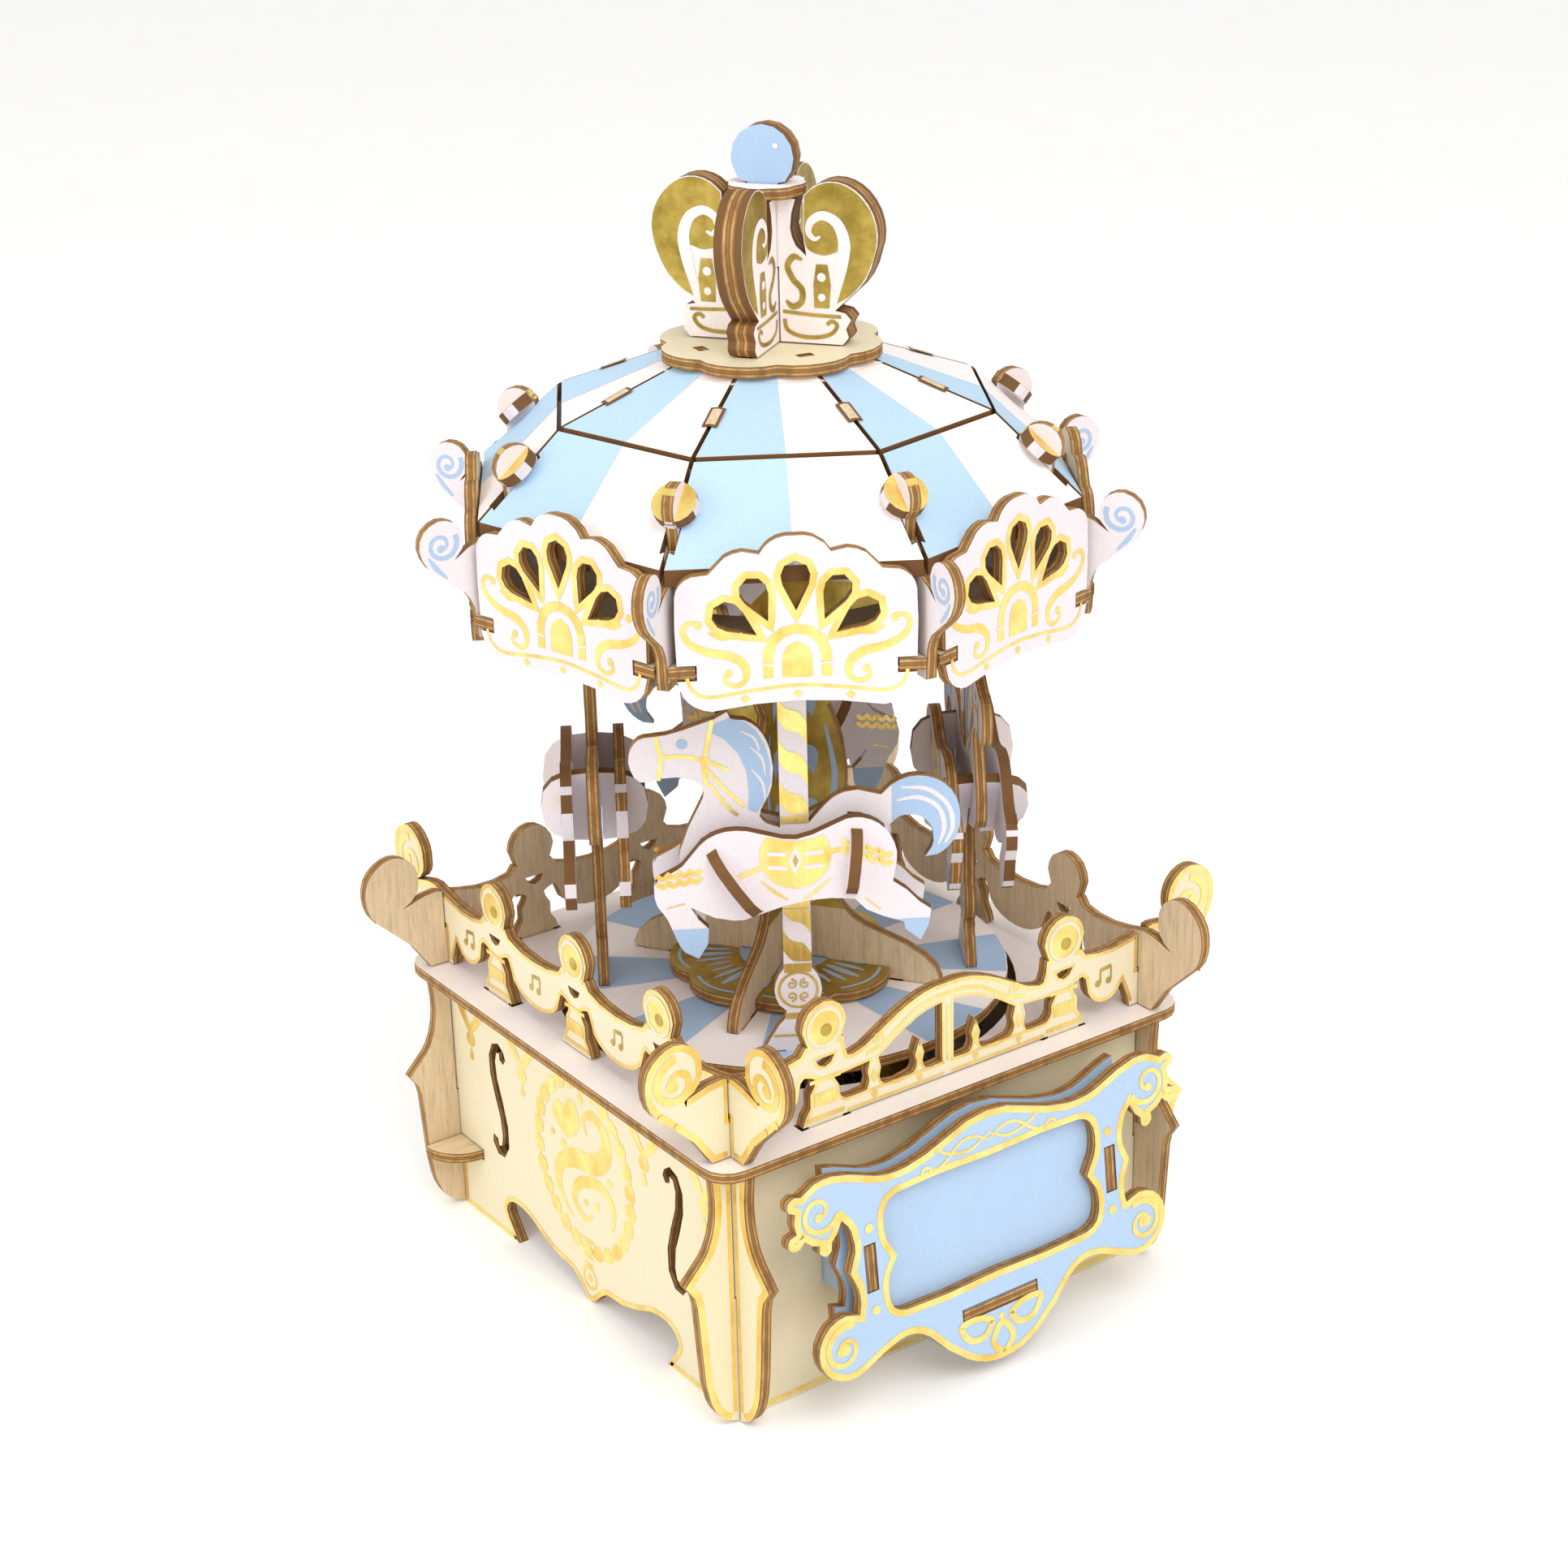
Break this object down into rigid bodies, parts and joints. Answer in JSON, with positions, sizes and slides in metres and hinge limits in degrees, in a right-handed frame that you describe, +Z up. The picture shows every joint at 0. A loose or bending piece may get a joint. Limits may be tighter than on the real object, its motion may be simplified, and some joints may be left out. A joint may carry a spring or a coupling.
{
  "type": "carousel music box",
  "caption": "Laser-cut plywood carousel with prancing horses under a domed roof and crown, turning on a square music box with fretted fences.",
  "frame": {"origin": "on the carousel's axis, at the level of the surface the box stands on", "axes": "+Z up along the carousel's axis, -Y towards the wall with the name plaque, +X to the right when facing the plaque"},
  "size_m": [0.144, 0.144, 0.2335],
  "materials": {
    "cream": "cream printed face, laser-cut edge",
    "pale": "pale printed face, laser-cut edge",
    "lilac": "lilac-white printed face, laser-cut edge",
    "blue": "sky blue printed face, laser-cut edge",
    "gold_print": "gold foil print on plywood",
    "bare": "unfinished birch plywood",
    "brass": "satin",
    "steel": "satin"
  },
  "bodies": {
    "base": {"wall_front": "cream", "wall_back": "cream", "wall_left": "cream", "wall_right": "cream", "deck": "pale", "movement_shelf": "bare", "fence_front": "cream", "fence_back": "cream", "fence_left": "cream", "fence_right": "cream", "plaque_front": "blue", "plaque_back": "blue", "plaque_cheek_left": "blue", "plaque_cheek_right": "blue", "plaque_prop": "blue", "movement_bedplate": "brass", "movement_comb": "steel"},
    "carousel": {"movement_barrel": "steel", "turntable": "pale", "medallion": "gold_print", "column_plate_a": "pale", "column_plate_b": "pale", "horse_1_pole": "lilac", "horse_1_body": "lilac", "horse_2_pole": "lilac", "horse_2_body": "lilac", "horse_3_pole": "lilac", "horse_3_body": "lilac", "horse_4_pole": "lilac", "horse_4_body": "lilac", "ceiling_ring": "bare", "roof_rib_1": "lilac", "roof_rib_2": "lilac", "roof_rib_3": "lilac", "roof_rib_4": "lilac", "roof_panel_1": "blue", "roof_panel_2": "blue", "roof_panel_3": "blue", "roof_panel_4": "blue", "roof_panel_5": "blue", "roof_panel_6": "blue", "roof_panel_7": "blue", "roof_panel_8": "blue", "valance_1": "lilac", "valance_2": "lilac", "valance_3": "lilac", "valance_4": "lilac", "valance_5": "lilac", "valance_6": "lilac", "valance_7": "lilac", "valance_8": "lilac", "roof_top": "pale", "crown_plate": "cream", "crown_arm_a": "gold_print", "crown_arm_b": "gold_print", "crown_cap": "cream", "crown_ball": "blue"},
    "cylinder": {"movement_cylinder": "brass"},
    "fly": {"movement_fly": "steel"},
    "key": {"winding_key": "steel"}
  },
  "joints": [
    {"name": "carousel_spin", "type": "hinge", "parent": "base", "child": "carousel", "pos_m": [0, 0, 0.0593], "axis": [0, 0, 1], "continuous": true},
    {"name": "cylinder_spin", "type": "hinge", "parent": "base", "child": "cylinder", "pos_m": [0.0294, 0, 0.0399], "axis": [1, 0, 0], "continuous": true},
    {"name": "fly_spin", "type": "hinge", "parent": "base", "child": "fly", "pos_m": [0.0294, 0.01145, 0.0399], "axis": [1, 0, 0], "continuous": true},
    {"name": "key_turn", "type": "hinge", "parent": "base", "child": "key", "pos_m": [0, 0, 0.009], "axis": [0, 0, 1], "continuous": true}
  ],
  "couplings": [
    {"joint": "cylinder_spin", "follows": "carousel_spin", "ratio": 2},
    {"joint": "fly_spin", "follows": "carousel_spin", "ratio": -6}
  ]
}
